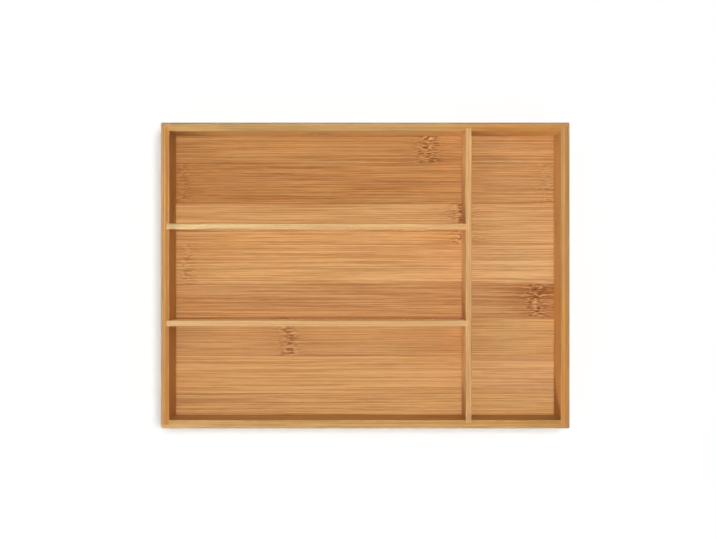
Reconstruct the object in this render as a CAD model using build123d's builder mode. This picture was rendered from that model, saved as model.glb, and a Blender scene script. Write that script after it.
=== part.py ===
"""Cutlery tray in laminated bamboo.

Four walls, rabbeted together at the corners, hold a planked base in a groove near their bottom edge.
One long divider and two cross dividers stand on the base, in dadoes in the walls and in each other.
They leave three bays, one behind the other, and a fourth across the right end.

X runs left to right, Y front to back and Z up, in millimetres. The origin is the middle of the tray's
footprint, on the surface that the four walls stand on.
"""

import os

from build123d import *

# Overall size of the tray
tray_width = 350.0
tray_depth = 262.0
tray_height = 50.0

# Thickness of each kind of board
wall_thickness = 7.5
divider_thickness = 5.0
base_thickness = 5.0

# Clear room in the bay across the right end, in the back bay and in the middle bay
end_bay_width = 76.5
back_bay_depth = 79.0
middle_bay_depth = 78.0

# One depth of cut serves the corner rabbets and the groove for the base, foot_height above the floor
joint_depth = 4.0
foot_height = 2.5

# Dadoes for the dividers' ends, in the walls and in the long divider
wall_dado_depth = 2.5
divider_dado_depth = 2.0

# Room for the base to swell in its groove, and for a film of glue around a divider's end
swelling_room = 0.5
glue_film = 0.1

# Sanded edges: along the rim and down the corners outside, all other visible arrises, and the planks
rim_round = 2.0
corner_round = 1.2
arris_round = 0.5
plank_ease = 0.2

# Width of each base plank, from back to front, as a share of the base's depth
plank_width_shares = (0.110, 0.140, 0.141, 0.139, 0.119, 0.131, 0.132, 0.088)

# Room inside the walls, and from the bottom of one joint to the bottom of the other
inside_width = tray_width - 2 * wall_thickness
inside_depth = tray_depth - 2 * wall_thickness
joint_width = inside_width + 2 * joint_depth
joint_length = inside_depth + 2 * joint_depth

# The base lies in the groove, and the dividers stand on it, flush with the rim
base_width = joint_width - 2 * swelling_room
base_depth = joint_length - 2 * swelling_room
base_top = foot_height + base_thickness
divider_height = tray_height - base_top

# Middle planes of the walls and the dividers
side_wall_x = (tray_width - wall_thickness) / 2
end_wall_y = (tray_depth - wall_thickness) / 2
long_divider_x = inside_width / 2 - end_bay_width - divider_thickness / 2
back_divider_y = inside_depth / 2 - back_bay_depth - divider_thickness / 2
front_divider_y = back_divider_y - middle_bay_depth - divider_thickness

# Room for each divider, from the bottom of one dado to the bottom of the other
dado_width = divider_thickness + 2 * glue_film
long_divider_room = inside_depth + 2 * wall_dado_depth
cross_room_left = -inside_width / 2 - wall_dado_depth
cross_room_right = long_divider_x - divider_thickness / 2 + divider_dado_depth
cross_divider_room = cross_room_right - cross_room_left
cross_divider_x = (cross_room_left + cross_room_right) / 2

os.makedirs("parts", exist_ok=True)


def keep(piece, name):
    """Names a finished piece and writes its file."""
    piece.part.label = name
    export_step(piece.part, f"parts/{name}.step")


# Plans of the cuts: the groove starts at the foot, and the dadoes run from the base to the rim
with BuildSketch(Plane.XY.offset(foot_height)) as base_groove:
    Rectangle(joint_width, joint_length)

with BuildSketch(Plane.XY.offset(base_top)) as long_dado:
    with Locations((long_divider_x, 0)):
        Rectangle(dado_width, long_divider_room)

with BuildSketch(Plane.XY.offset(base_top)) as cross_dadoes:
    with Locations((cross_divider_x, back_divider_y), (cross_divider_x, front_divider_y)):
        Rectangle(cross_divider_room, dado_width)

# The walls together, as they leave the sander
with BuildPart() as sanded_frame:
    with BuildSketch():
        Rectangle(tray_width, tray_depth)
        Rectangle(inside_width, inside_depth, mode=Mode.SUBTRACT)
    extrude(amount=tray_height)
    rim = sanded_frame.faces().sort_by(Axis.Z)[-1]
    inside_arrises = rim.inner_wires()[0].edges()
    fillet(rim.outer_wire().edges(), rim_round)
    fillet(inside_arrises, arris_round)
    upright_corners = sanded_frame.edges().filter_by(Axis.Z).group_by(SortBy.DISTANCE)[-1]
    fillet(upright_corners, corner_round)
    foot = sanded_frame.faces().sort_by(Axis.Z)[0]
    chamfer(foot.outer_wire().edges(), arris_round)

# Side walls: square ends, the groove from end to end, and dadoes in the left one for the cross dividers
with BuildPart() as left_wall:
    with BuildSketch():
        with Locations((-side_wall_x, 0)):
            Rectangle(wall_thickness, joint_length)
    extrude(amount=tray_height)
    add(sanded_frame.part, mode=Mode.INTERSECT)
    extrude(base_groove.sketch, amount=base_thickness, mode=Mode.SUBTRACT)
    extrude(cross_dadoes.sketch, amount=divider_height, mode=Mode.SUBTRACT)
keep(left_wall, "left_wall")

with BuildPart() as right_wall:
    with BuildSketch():
        with Locations((side_wall_x, 0)):
            Rectangle(wall_thickness, joint_length)
    extrude(amount=tray_height)
    add(sanded_frame.part, mode=Mode.INTERSECT)
    extrude(base_groove.sketch, amount=base_thickness, mode=Mode.SUBTRACT)
keep(right_wall, "right_wall")

# Back and front walls: a rabbet at each end takes a side wall, and a dado takes the long divider
for name, wall_y in (("back_wall", end_wall_y), ("front_wall", -end_wall_y)):
    with BuildPart() as end_wall:
        with BuildSketch():
            with Locations((0, wall_y)):
                Rectangle(tray_width, wall_thickness)
            with Locations((-side_wall_x, 0), (side_wall_x, 0)):
                Rectangle(wall_thickness, joint_length, mode=Mode.SUBTRACT)
        extrude(amount=tray_height)
        add(sanded_frame.part, mode=Mode.INTERSECT)
        extrude(base_groove.sketch, amount=base_thickness, mode=Mode.SUBTRACT)
        extrude(long_dado.sketch, amount=divider_height, mode=Mode.SUBTRACT)
    keep(end_wall, name)

# Long divider: from wall to wall, with dadoes in its left face for the cross dividers
with BuildPart() as long_divider:
    with BuildSketch(Plane.XY.offset(base_top)):
        with Locations((long_divider_x, 0)):
            Rectangle(divider_thickness, long_divider_room - 2 * glue_film)
    extrude(amount=divider_height)
    fillet(long_divider.edges().filter_by(Axis.Y).group_by(Axis.Z)[-1], arris_round)
    extrude(cross_dadoes.sketch, amount=divider_height, mode=Mode.SUBTRACT)
keep(long_divider, "long_divider")

# Cross dividers: from the left wall to the long divider
for name, divider_y in (("back_cross_divider", back_divider_y), ("front_cross_divider", front_divider_y)):
    with BuildPart() as cross_divider:
        with BuildSketch(Plane.XY.offset(base_top)):
            with Locations((cross_divider_x, divider_y)):
                Rectangle(cross_divider_room - 2 * glue_film, divider_thickness)
        extrude(amount=divider_height)
        fillet(cross_divider.edges().filter_by(Axis.X).group_by(Axis.Z)[-1], arris_round)
    keep(cross_divider, name)

# Base: planks glued edge to edge, numbered from the back, their long edges eased
plank_back_y = base_depth / 2
for number, share in enumerate(plank_width_shares, start=1):
    plank_width = share * base_depth
    with BuildPart() as base_plank:
        with BuildSketch(Plane.XY.offset(foot_height)):
            with Locations((0, plank_back_y - plank_width / 2)):
                Rectangle(base_width, plank_width)
        extrude(amount=base_thickness)
        chamfer(base_plank.edges().filter_by(Axis.X), plank_ease)
    keep(base_plank, f"base_plank_{number}")
    plank_back_y -= plank_width
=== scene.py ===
"""Looks of the bamboo cutlery tray: the grain and finish of its boards, the studio light and the camera."""

import math

import bpy
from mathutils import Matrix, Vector


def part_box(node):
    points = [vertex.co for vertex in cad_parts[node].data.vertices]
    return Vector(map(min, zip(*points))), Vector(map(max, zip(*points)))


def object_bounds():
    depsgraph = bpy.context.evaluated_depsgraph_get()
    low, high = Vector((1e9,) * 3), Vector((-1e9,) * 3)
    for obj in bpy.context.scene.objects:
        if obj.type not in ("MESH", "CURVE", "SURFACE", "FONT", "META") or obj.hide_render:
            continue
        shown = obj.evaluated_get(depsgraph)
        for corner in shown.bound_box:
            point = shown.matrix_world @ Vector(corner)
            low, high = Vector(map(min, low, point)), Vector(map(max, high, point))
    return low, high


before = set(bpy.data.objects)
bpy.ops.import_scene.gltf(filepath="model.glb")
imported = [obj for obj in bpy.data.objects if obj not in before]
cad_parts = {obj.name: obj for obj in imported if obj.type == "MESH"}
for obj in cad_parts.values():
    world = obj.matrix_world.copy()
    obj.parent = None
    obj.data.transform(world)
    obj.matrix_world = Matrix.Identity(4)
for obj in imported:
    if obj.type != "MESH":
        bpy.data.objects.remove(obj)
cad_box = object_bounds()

# The photograph: its size, the tray's middle in it, its scale at the rim and the camera's height over that
photo_width_px, photo_height_px = 716, 540
tray_middle_px = (365.15, 275.5)
metres_per_px = 0.0008551
camera_over_rim = 1.20
sensor_width_mm = 36.0

# Light on the tray's level faces is 1 in all: the sky's share from all round, and the rest from lamps, each
# with its direction, share, softness in degrees, what it lights and whether a gloss shows it. A key lamp at
# the front left shades the upright boards, and a lamp at the back shows the front cross divider's far side.
# It and the lamps overhead have polarising filters, and so no glare. Two softboxes light the floor only, and
# give it the tray's shadow
sky_share = 0.31
lamps = {
    "top_lamp": ((0.0, 0.0, 1.0), 0.25, 5.0, "other_uprights", False),
    "key_lamp": ((-0.80, -0.87, 1.0), 0.44, 12.0, "uprights", True),
    "back_lamp": ((0.0, 1.0, 1.0), 0.25, 12.0, "front_cross_divider", False),
    "base_lamp": ((0.0, 0.0, 1.0), 0.69, 5.0, "base", False),
    "right_softbox": ((0.23, 0.06, 1.0), 0.69, 11.0, "floor", True),
    "back_softbox": ((0.04, 0.16, 1.0), 0.69, 11.0, "floor", True),
}

# The floor is pale paper, lifted to white where it is looked at
floor_tone = "#C3C4C5"
floor_lift = 0.08
floor_size = 8.0

# Tones of oiled bamboo: the pale pith of a board, and the brown fibres in it
tones = {
    "pale": ("#E6B981", "#B88351"),
    "biscuit": ("#E2B47D", "#BA8553"),
    "apricot": ("#E2B476", "#BA854E"),
    "sand": ("#DCAB70", "#B7824D"),
    "honey": ("#DFB075", "#B27D47"),
    "tan": ("#D7A76E", "#A77341"),
    "hazel": ("#D09F69", "#A57140"),
    "fawn": ("#CF9F68", "#AC7947"),
    "amber": ("#CF9C61", "#A46E3A"),
    "russet": ("#CD9659", "#9B602F"),
    "umber": ("#D69C63", "#915829"),
    "gold": ("#D2984F", "#B87C3B"),
    "barley": ("#CD9E5A", "#B38144"),
    "toffee": ("#DEAB67", "#B67938"),
    "maize": ("#D5AA6B", "#BA8C50"),
    "cream": ("#F0D297", "#D7B078"),
    "straw": ("#E3B67C", "#CB9A61"),
    "wheat": ("#D7A970", "#BF8D57"),
}
knuckle_brown = "#764015"
knuckle_pale = "#E7BA87"
glue_brown = "#855228"
# A pale grey painted on the rim's outer edge: a painted reflection of the pale floor on the rounded edge
painted_edge_reflection = "#B09B7D"

# Streaks in the cane: the length and width of one, in millimetres, then how much finer detail is in them
# and how strong that is. Bamboo's bundles of fibres are about 0.5 mm wide, too fine to show at 0.86 mm a
# pixel, so the lines and hairs are drawn 0.6 to 0.74 mm wide
streak_kinds = {
    "wander": (140.0, 20.0, 1.0, 0.55),
    "lines": (115.0, 0.74, 1.5, 0.6),
    "hairs": (15.0, 0.6, 1.0, 0.55),
    "bands": (190.0, 6.0, 2.0, 0.55),
    "ragged": (60.0, 5.0, 2.0, 0.55),
    "swirl": (9.0, 4.0, 1.0, 0.55),
    "dashes": (4.8, 1.1, 1.0, 0.55),
    "patches": (30.0, 8.0, 2.0, 0.55),
}

# What darkens the wood: each kind's noise up to which there is only pith, its noise from which there is
# only fibre, and its share
fibre_kinds = {
    "lines": (0.41, 0.59, 0.67),
    "hairs": (0.38, 0.62, 0.22),
    "bands": (0.3, 0.7, 0.11),
}

# How far, either way, fibres wander all along and swirl at a knuckle, and how ragged a knuckle's ring is
wander_mm = 0.7
swirl_mm = 1.8
ragged_mm = 6.0

# How fast a knuckle's dashes fade along the cane, how fast its swirls and browner wood do, which reach
# further, and how much browner that wood is
dash_fade = -1.0
swirl_fade = -0.12
knuckle_shade = 0.2

# A knuckle's dashes are pale where their noise is low and brown where it is high: the noise at which they
# begin and are full, and their strength there
pale_dash = (0.44, 0.34, 0.0, 0.65)
brown_dash = (0.51, 0.62, 0.0, 1.0)

# Where a glue line begins and where it is full, from the joint, and the soft edge of a browner layer
glue_begins_mm, glue_full_mm = 0.5, 0.1
ply_edge_mm = 0.3

# The painted reflection on the rim's outer edge begins and is full at these depths, under the rim's top and
# in
# from the outer face. It comes in patches: the noise at which they begin and are full, and its share there
reflection_under_rim_mm = (3.5, 1.0)
reflection_from_face_mm = (2.6, 0.8)
reflection_patches = (0.35, 0.65, 0.3, 1.0)

# Oil has sunk into the wood and left it satin. The fibres stand 0.03 mm proud
pith_roughness, fibre_roughness = 0.46, 0.58
fibre_relief = 0.00003
relief_strength = 0.5
oiled_wood_ior = 1.47

# The frame is in metres, and the grain is worked out in millimetres
mm_per_metre = 1000.0

# Parts of the cane are this far apart along, across and through it, and one board's strips this far along.
# A board glued from strips loses some at its top and bottom edge when it is planed
parts_apart_mm = (371.0, 53.0, 29.0)
strips_apart_mm = 431.0
planed_off_mm = 2.0

# Tones that change from one end of a board to the other, over the whole of its length
whole = (0.0, 1.0)


def linear(tone):
    """An sRGB hex value as a linear colour."""
    channels = [int(tone[start : start + 2], 16) / 255 for start in (1, 3, 5)]
    return (*(c / 12.92 if c <= 0.04045 else ((c + 0.055) / 1.055) ** 2.4 for c in channels), 1.0)


def add(tree, kind, *values, inputs=None, **settings):
    """Adds a node with its settings. Inputs, in order or by name, get a number, a socket or another node."""
    made = tree.nodes.new("ShaderNode" + kind)
    for name, value in settings.items():
        setattr(made, name, value)
    enabled = [socket for socket in made.inputs if socket.enabled]
    named = {socket.name: socket for socket in reversed(enabled)}
    pairs = list(zip(enabled, values)) + [(named[name], value) for name, value in (inputs or {}).items()]
    for socket, value in pairs:
        if isinstance(value, bpy.types.Node):
            value = next(output for output in value.outputs if output.enabled)
        if isinstance(value, bpy.types.NodeSocket):
            tree.links.new(value, socket)
        else:
            socket.default_value = value
    return made


def new_material(name):
    """An empty material and its node tree."""
    material = bpy.data.materials.new(name)
    material.use_nodes = True
    material.node_tree.nodes.clear()
    return material, material.node_tree


def streaks(tree, place, kind):
    """Noise drawn out along the fibres."""
    length, width, detail, roughness = streak_kinds[kind]
    drawn = add(tree, "Mapping", inputs={"Vector": place, "Scale": (1 / length, 1 / width, 1 / width)})
    noise = {"Vector": drawn, "Scale": 1.0, "Detail": detail, "Roughness": roughness}
    return add(tree, "TexNoise", inputs=noise)


def around_knuckles(tree, along, ragged, knuckles, strip, stagger):
    """How near a place is to the ragged rings where the cane had its knuckles: close by, and more widely."""
    close, wide = 0.0, 0.0
    for centre, half_length, strength in knuckles:
        off = add(tree, "Math", along, centre, operation="SUBTRACT")
        off = add(tree, "Math", off, ragged, operation="ADD")
        if stagger:
            off = add(tree, "Math", strip, -stagger, off, operation="MULTIPLY_ADD")
        off = add(tree, "Math", off, half_length, operation="DIVIDE")
        square = add(tree, "Math", off, off, operation="MULTIPLY")
        near = add(tree, "Math", square, dash_fade, operation="MULTIPLY")
        near = add(tree, "Math", near, operation="EXPONENT")
        near = add(tree, "Math", near, strength, operation="MULTIPLY")
        close = add(tree, "Math", close, near, operation="MAXIMUM")
        far = add(tree, "Math", square, swirl_fade, operation="MULTIPLY")
        far = add(tree, "Math", far, operation="EXPONENT")
        far = add(tree, "Math", far, strength, operation="MULTIPLY")
        wide = add(tree, "Math", wide, far, operation="MAXIMUM")
    return close, wide


def bamboo_board(cut, node, axes, cane_part, ends, change, knuckles=(), joints=0.45, strips=1, stagger=0.0,
                 ply=None, edge_reflection=0.0):
    """Bamboo, sanded and oiled: brown fibres in a paler pith, all one way, and a ring of short dark dashes
    where the cane had a knuckle. cut is how the board was made, axes are the ways along, across and through
    it, and cane_part says which part of the cane it is from. ends are its tones at both ends, and change is
    the stretch between them. strips is the number that it is glued from, across, stagger how far on each
    one's knuckles are, and joints how dark their edges are. ply is a browner layer: its depth under the
    outer face, half its thickness and its strength. The last argument is the strength of a painted reflection
    of the pale floor, pale grey, on the rim's rounded outer edge."""
    material, tree = new_material(f"{cut}_bamboo_of_{node}")
    low, high = (corner * mm_per_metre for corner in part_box(node))
    along_axis, across_axis, through_axis = ("XYZ".index(axis) for axis in axes)
    smooth = {"interpolation_type": "SMOOTHSTEP"}

    # The board's own place, in millimetres, with each strip cut from a part of the cane of its own
    metres = add(tree, "TexCoord").outputs["Object"]
    place = add(tree, "VectorMath", metres, inputs={"Scale": mm_per_metre}, operation="SCALE")
    parts = add(tree, "SeparateXYZ", place)
    along, across, through = (parts.outputs[axis] for axis in axes)
    planed = 0.0 if strips == 1 else planed_off_mm
    strip_width = (high[across_axis] - low[across_axis] + 2 * planed) / strips
    from_edge = add(tree, "Math", across, low[across_axis] - planed, operation="SUBTRACT")
    in_strips = add(tree, "Math", from_edge, strip_width, operation="DIVIDE")
    strip = add(tree, "Math", in_strips, operation="FLOOR")
    strip_at = add(tree, "CombineXYZ", add(tree, "Math", strip, strips_apart_mm, operation="MULTIPLY"))
    board_at = tuple(cane_part * apart for apart in parts_apart_mm)
    own = add(tree, "CombineXYZ", along, across, through)
    own = add(tree, "VectorMath", own, strip_at, operation="ADD")
    own = add(tree, "VectorMath", own, board_at, operation="ADD")

    # A wall's layers and the painted edge reflection go by the depth under its outer face, the one further
    # from the tray's middle
    if ply or edge_reflection:
        outer_face = max(low[through_axis], high[through_axis], key=abs)
        from_face = add(tree, "Math", through, outer_face, operation="SUBTRACT")
        depth = add(tree, "Math", from_face, operation="ABSOLUTE")

    # Fibres wander a little all along the cane. At a knuckle they bend to and fro
    wander = streaks(tree, own, "wander")
    bend = add(tree, "Math", wander, 2 * wander_mm, -wander_mm, operation="MULTIPLY_ADD")
    if knuckles:
        ragged = streaks(tree, own, "ragged")
        ragged = add(tree, "Math", ragged, 2 * ragged_mm, -ragged_mm, operation="MULTIPLY_ADD")
        close, wide = around_knuckles(tree, along, ragged, knuckles, strip, stagger)
        swirl = streaks(tree, own, "swirl")
        swirl = add(tree, "Math", swirl, 2 * swirl_mm, -swirl_mm, operation="MULTIPLY_ADD")
        bend = add(tree, "Math", swirl, wide, bend, operation="MULTIPLY_ADD")
    moved = add(tree, "CombineXYZ", 0.0, bend)
    cane = add(tree, "VectorMath", own, moved, operation="ADD")

    # Fibres lie 1 to 2 mm apart, in fine dark lines and short hairs, and denser in some bands than in others
    fibre = 0.0
    for kind, (pith_begins, fibre_begins, share) in fibre_kinds.items():
        dense = add(tree, "MapRange", streaks(tree, cane, kind), pith_begins, fibre_begins, **smooth)
        fibre = add(tree, "Math", dense, share, fibre, operation="MULTIPLY_ADD")
    if ply:
        ply_depth, ply_half, ply_strength = ply
        from_ply = add(tree, "Math", depth, ply_depth, operation="SUBTRACT")
        from_ply = add(tree, "Math", from_ply, operation="ABSOLUTE")
        ply_ends = (ply_half + ply_edge_mm, ply_half - ply_edge_mm)
        in_ply = add(tree, "MapRange", from_ply, *ply_ends, **smooth)
        fibre = add(tree, "Math", in_ply, ply_strength, fibre, operation="MULTIPLY_ADD")
    if knuckles:
        fibre = add(tree, "Math", wide, knuckle_shade, fibre, operation="MULTIPLY_ADD")

    # Pith and fibres, each from the board's tone at one end to its tone at the other
    board_length = high[along_axis] - low[along_axis]
    start, end = (low[along_axis] + board_length * part for part in change)
    onward = add(tree, "MapRange", along, start, end, **smooth)
    pith_at_start, brown_at_start = (linear(tone) for tone in tones[ends[0]])
    pith_at_end, brown_at_end = (linear(tone) for tone in tones[ends[1]])
    pith = {"Factor": onward, "A": pith_at_start, "B": pith_at_end}
    brown = {"Factor": onward, "A": brown_at_start, "B": brown_at_end}
    wood = {
        "Factor": fibre,
        "A": add(tree, "Mix", inputs=pith, data_type="RGBA"),
        "B": add(tree, "Mix", inputs=brown, data_type="RGBA"),
    }
    colour = add(tree, "Mix", inputs=wood, data_type="RGBA")

    # Marks over them: the knuckles' pale and dark dashes, glue lines at the joints, and a painted reflection
    # of the pale floor on the rim's outer edge
    marks = []
    if knuckles:
        dashes = streaks(tree, cane, "dashes")
        light = add(tree, "MapRange", dashes, *pale_dash, **smooth)
        dark = add(tree, "MapRange", dashes, *brown_dash, **smooth)
        marks.append((add(tree, "Math", light, close, operation="MULTIPLY"), knuckle_pale))
        marks.append((add(tree, "Math", dark, close, operation="MULTIPLY"), knuckle_brown))
    within = add(tree, "Math", in_strips, operation="FRACT")
    from_middle = add(tree, "Math", within, 0.5, operation="SUBTRACT")
    from_middle = add(tree, "Math", from_middle, operation="ABSOLUTE")
    glue_ends = (0.5 - glue_begins_mm / strip_width, 0.5 - glue_full_mm / strip_width)
    marks.append((add(tree, "MapRange", from_middle, *glue_ends, 0.0, joints, **smooth), glue_brown))
    # A painted reflection of the pale floor, pale grey in patches, on the rim's rounded outer edge
    if edge_reflection:
        rim_ends = (high[across_axis] - under for under in reflection_under_rim_mm)
        near_rim = add(tree, "MapRange", across, *rim_ends, 0.0, edge_reflection, **smooth)
        near_face = add(tree, "MapRange", depth, *reflection_from_face_mm, **smooth)
        reflection_mask = add(tree, "Math", near_face, near_rim, operation="MULTIPLY")
        patches = add(tree, "MapRange", streaks(tree, own, "patches"), *reflection_patches, **smooth)
        marks.append((add(tree, "Math", reflection_mask, patches, operation="MULTIPLY"), painted_edge_reflection))
    for share, tone in marks:
        mark = {"Factor": share, "A": colour, "B": linear(tone)}
        colour = add(tree, "Mix", inputs=mark, data_type="RGBA")

    # The oiled finish is a little rougher on the fibres, which stand proud
    gloss = add(tree, "MapRange", fibre, 0.0, 1.0, pith_roughness, fibre_roughness)
    proud = {"Strength": relief_strength, "Distance": fibre_relief, "Height": fibre}
    relief = add(tree, "Bump", inputs=proud)
    finish = {"Base Color": colour, "Roughness": gloss, "Normal": relief, "IOR": oiled_wood_ior}
    add(tree, "OutputMaterial", add(tree, "BsdfPrincipled", inputs=finish))
    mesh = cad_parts[node].data
    mesh.materials.clear()
    mesh.materials.append(material)


# Base planks from back to front: the part of the cane, tones at the left and right end, where they change,
# how dark the joints are, and knuckles, each by its place, half its length and its strength
planks = [
    (361, ("amber", "tan"), (0.5, 0.9), 0.45, [(56.0, 9.0, 1.15)]),
    (602, ("russet", "tan"), (0.45, 1.0), 0.3, [(-160.0, 7.0, 0.4), (160.0, 8.0, 0.3)]),
    (243, ("honey", "pale"), (0.5, 1.4), 0.4, [(85.0, 8.0, 0.9)]),
    (514, ("honey", "pale"), (0.3, 1.0), 0.3, [(-157.0, 7.0, 0.4)]),
    (515, ("hazel", "umber"), (0.78, 0.95), 0.4, [(152.0, 9.0, 1.0)]),
    (216, ("fawn", "honey"), (0.7, 0.95), 0.45, [(-68.0, 8.0, 0.72)]),
    (277, ("sand", "biscuit"), (0.6, 1.0), 0.12, []),
    (428, ("tan", "apricot"), (0.0, 1.2), 0.08, []),
]
for number, (cane_part, ends, change, joints, knuckles) in enumerate(planks, start=1):
    plank = f"base_plank_{number}"
    bamboo_board("flat_sawn", plank, "XYZ", cane_part, ends, change, knuckles, joints)

# Walls, three strips high: the axes, the part of the cane, tones at both ends, where they change, a knuckle,
# how far on each strip's knuckle is, so that none shows on the rim, and the browner layer
walls = {
    "left_wall": ("YZX", 341, ("gold", "toffee"), whole, (-40.0, 9.0, 0.8), 100.0, (5.4, 0.9, 0.8)),
    "right_wall": ("YZX", 342, ("gold", "barley"), whole, (-60.0, 9.0, 0.8), 105.0, (2.6, 1.4, 0.75)),
    "front_wall": ("XZY", 133, ("maize", "barley"), whole, (-70.0, 9.0, 0.8), 130.0, (5.0, 1.2, 0.3)),
    "back_wall": ("XZY", 314, ("maize", "gold"), (0.6, 0.85), (130.0, 9.0, 0.8), -170.0, (5.0, 2.0, 0.22)),
}
for wall, (axes, cane_part, ends, change, knuckle, stagger, ply) in walls.items():
    # 0.65 is the strength of the painted reflection of the pale floor on the rim's outer edge
    layers = {"strips": 3, "stagger": stagger, "ply": ply, "edge_reflection": 0.65}
    bamboo_board("laminated", wall, axes, cane_part, ends, change, [knuckle], **layers)

# Dividers, two strips high: the axes, the part of the cane, tones at both ends and where they change
dividers = {
    "long_divider": ("YZX", 651, ("wheat", "straw"), whole),
    "back_cross_divider": ("XZY", 202, ("cream", "straw"), whole),
    "front_cross_divider": ("XZY", 503, ("cream", "straw"), (-0.5, 0.3)),
}
for divider, (axes, cane_part, ends, change) in dividers.items():
    bamboo_board("thin", divider, axes, cane_part, ends, change, strips=2)


def seen_white(tree):
    """1 where the camera, a gloss or a clear surface looks at the background, and 0 where it only lights."""
    rays = add(tree, "LightPath").outputs
    seen = add(tree, "Math", rays["Is Camera Ray"], rays["Is Glossy Ray"], operation="MAXIMUM")
    return add(tree, "Math", seen, rays["Is Transmission Ray"], operation="MAXIMUM")


def studio_floor():
    """Pale paper under the tray, which keeps its shadow and is lifted to white where it is looked at."""
    material, tree = new_material("pale_paper")
    lift = add(tree, "Math", seen_white(tree), floor_lift, operation="MULTIPLY")
    paper = add(tree, "BsdfDiffuse", linear(floor_tone))
    glow = add(tree, "Emission", inputs={"Strength": lift})
    add(tree, "OutputMaterial", add(tree, "AddShader", paper, glow))
    bpy.ops.mesh.primitive_plane_add(size=floor_size)
    floor = bpy.context.object
    floor.name = "floor"
    floor.data.materials.append(material)
    return floor


def studio_sky():
    """Even light from all round, which shows as white where it is looked at."""
    world = bpy.data.worlds.new("white_studio")
    world.use_nodes = True
    tree = world.node_tree
    tree.nodes.clear()
    strength = add(tree, "MapRange", seen_white(tree), 0.0, 1.0, sky_share, 1.0)
    add(tree, "OutputWorld", add(tree, "Background", (1.0, 1.0, 1.0, 1.0), strength))
    bpy.context.scene.world = world


def lamp(name, direction, share, softness, lit, in_gloss):
    """A far lamp for some objects only. direction points to it, and share is the light on a level surface."""
    light = bpy.data.lights.new(name, "SUN")
    towards = Vector(direction).normalized()
    light.energy = share * math.pi / towards.z
    light.angle = math.radians(softness)
    made = bpy.data.objects.new(name, light)
    made.rotation_euler = towards.to_track_quat("Z", "Y").to_euler()
    bpy.context.scene.collection.objects.link(made)
    made.light_linking.receiver_collection = lit
    made.visible_glossy = in_gloss


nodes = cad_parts
base = [nodes[name] for name in nodes if name.startswith("base_plank")]
uprights = [nodes[name] for name in nodes if not name.startswith("base_plank")]
front_divider = nodes["front_cross_divider"]
groups = {
    "floor": [studio_floor()],
    "base": base,
    "uprights": uprights,
    "front_cross_divider": [front_divider],
    "other_uprights": [board for board in uprights if board != front_divider],
}
lit_groups = {}
for name, members in groups.items():
    lit_groups[name] = bpy.data.collections.new(name)
    for member in members:
        lit_groups[name].objects.link(member)
studio_sky()
for name, (direction, share, softness, lit, in_gloss) in lamps.items():
    lamp(name, direction, share, softness, lit_groups[lit], in_gloss)

# The camera looks straight down, at the photograph's scale
camera_data = bpy.data.cameras.new("camera")
camera_data.sensor_width = sensor_width_mm
camera_data.lens = sensor_width_mm * camera_over_rim / (photo_width_px * metres_per_px)
camera = bpy.data.objects.new("camera", camera_data)
camera.location = (
    (photo_width_px / 2 - tray_middle_px[0]) * metres_per_px,
    (tray_middle_px[1] - photo_height_px / 2) * metres_per_px,
    cad_box[1].z + camera_over_rim,
)
bpy.context.scene.collection.objects.link(camera)
bpy.context.scene.camera = camera
bpy.context.scene.view_settings.view_transform = "Standard"
